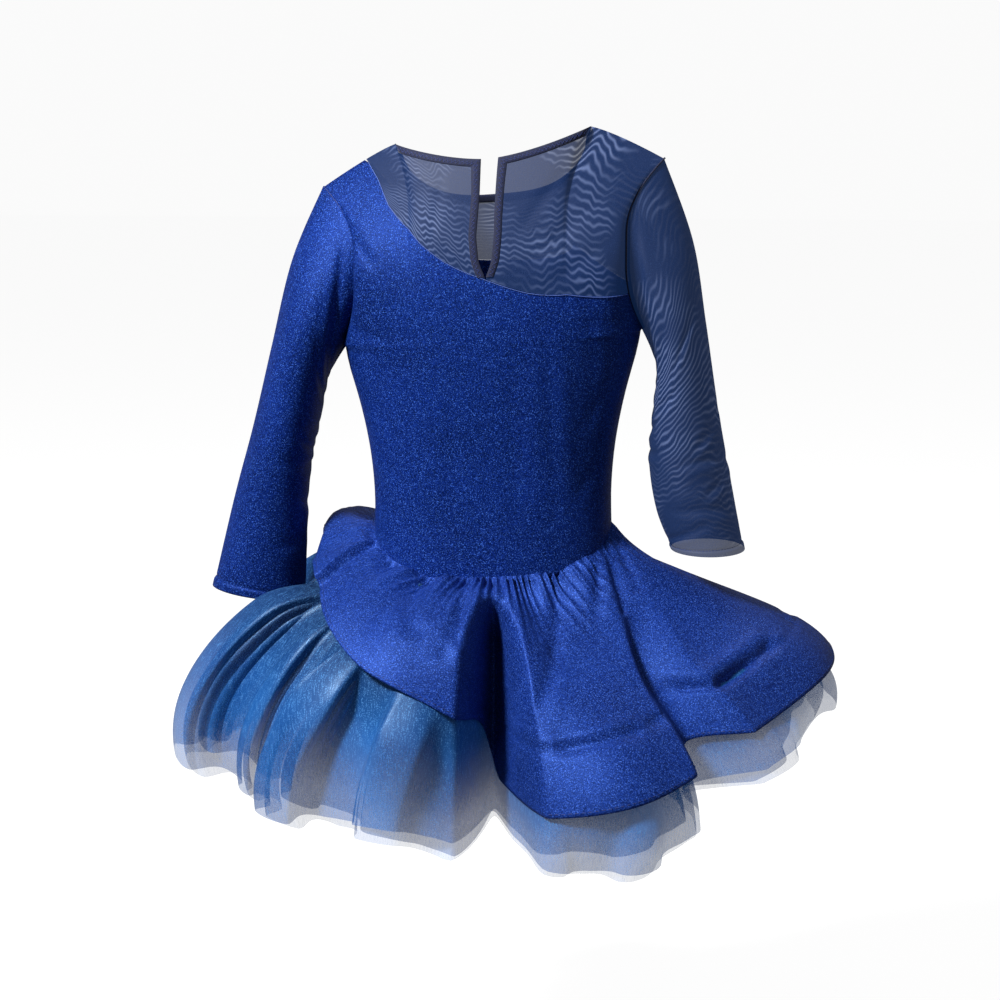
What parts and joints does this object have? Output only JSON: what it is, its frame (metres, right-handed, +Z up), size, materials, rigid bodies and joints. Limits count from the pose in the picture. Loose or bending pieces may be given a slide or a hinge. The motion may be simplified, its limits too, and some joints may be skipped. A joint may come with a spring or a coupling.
{
  "type": "irish dance dress",
  "caption": "Irish dance dress with a one-shoulder satin bodice, sheer mesh yoke and sleeve, keyhole back, gathered satin skirt and organza petticoats.",
  "frame": {"origin": "at neck height on the centre line of the body, midway between the two shoulders that hold the dress up", "axes": "+X towards the mesh sleeve, +Y out of the front of the dress, +Z up"},
  "size_m": [0.6326, 0.5069, 0.6775],
  "materials": {
    "satin": "royal blue satin knit with a fine glitter",
    "mesh": "sheer navy power mesh",
    "organza": "sheer crisp blue organza",
    "binding": "matt navy binding"
  },
  "bodies": {
    "root": {"back_bodice": "satin", "front_bodice": "satin", "back_yoke_left": "mesh", "back_yoke_right": "mesh", "front_yoke": "mesh", "satin_sleeve": "satin", "mesh_sleeve": "mesh", "back_skirt": "satin", "front_skirt": "satin", "petticoat_outer": "organza", "petticoat_middle": "organza", "petticoat_inner": "organza", "neck_binding_left": "binding", "neck_binding_right": "binding", "neck_band_front": "binding"}
  },
  "joints": []
}
